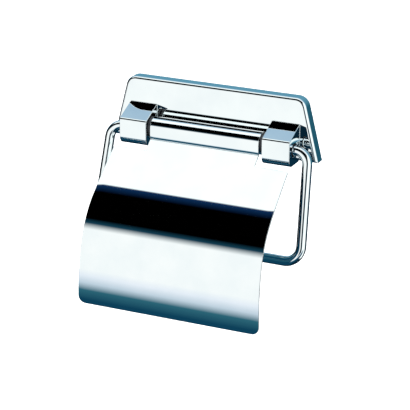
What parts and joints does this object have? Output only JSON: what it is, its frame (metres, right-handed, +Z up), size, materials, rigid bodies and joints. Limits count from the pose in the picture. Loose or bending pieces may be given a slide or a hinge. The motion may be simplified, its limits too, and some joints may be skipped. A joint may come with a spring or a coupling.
{
  "type": "toilet paper holder",
  "caption": "Wall-hung chrome toilet paper holder: trapezium plate, posts, a curved cover hinged between them and a closed wire bail for the roll.",
  "frame": {"origin": "centre of the plate's height and width, on the wall face (y = 0)", "axes": "+X to the right seen from the room, -Y out of the wall into the room, +Z up"},
  "size_m": [0.1384, 0.0716, 0.1227],
  "materials": {
    "cast_chrome": "polished",
    "sheet_chrome": "polished",
    "wire_chrome": "polished",
    "zinc_steel": "satin",
    "black_nylon": "matte"
  },
  "bodies": {
    "base": {"wall_plate": "cast_chrome", "wall_bracket": "zinc_steel", "grub_screw": "zinc_steel", "post_left": "cast_chrome", "post_screw_left_upper": "zinc_steel", "lock_washer_left_upper": "zinc_steel", "post_screw_left_lower": "zinc_steel", "lock_washer_left_lower": "zinc_steel", "thrust_washer_left": "black_nylon", "bail_bush_left": "black_nylon", "post_right": "cast_chrome", "post_screw_right_upper": "zinc_steel", "lock_washer_right_upper": "zinc_steel", "post_screw_right_lower": "zinc_steel", "lock_washer_right_lower": "zinc_steel", "thrust_washer_right": "black_nylon", "bail_bush_right": "black_nylon", "hinge_rod": "zinc_steel"},
    "cover_body": {"cover": "sheet_chrome"},
    "bail_body": {"bail": "wire_chrome"}
  },
  "joints": [
    {"name": "cover_hinge", "type": "hinge", "parent": "base", "child": "cover_body", "pos_m": [0, -0.01545, -0.00785], "axis": [-1, 0, 0], "range_deg": [0, 100]},
    {"name": "bail_pivot", "type": "hinge", "parent": "base", "child": "bail_body", "pos_m": [0, -0.0155, -0.0097], "axis": [-1, 0, 0], "range_deg": [-15, 25]}
  ]
}
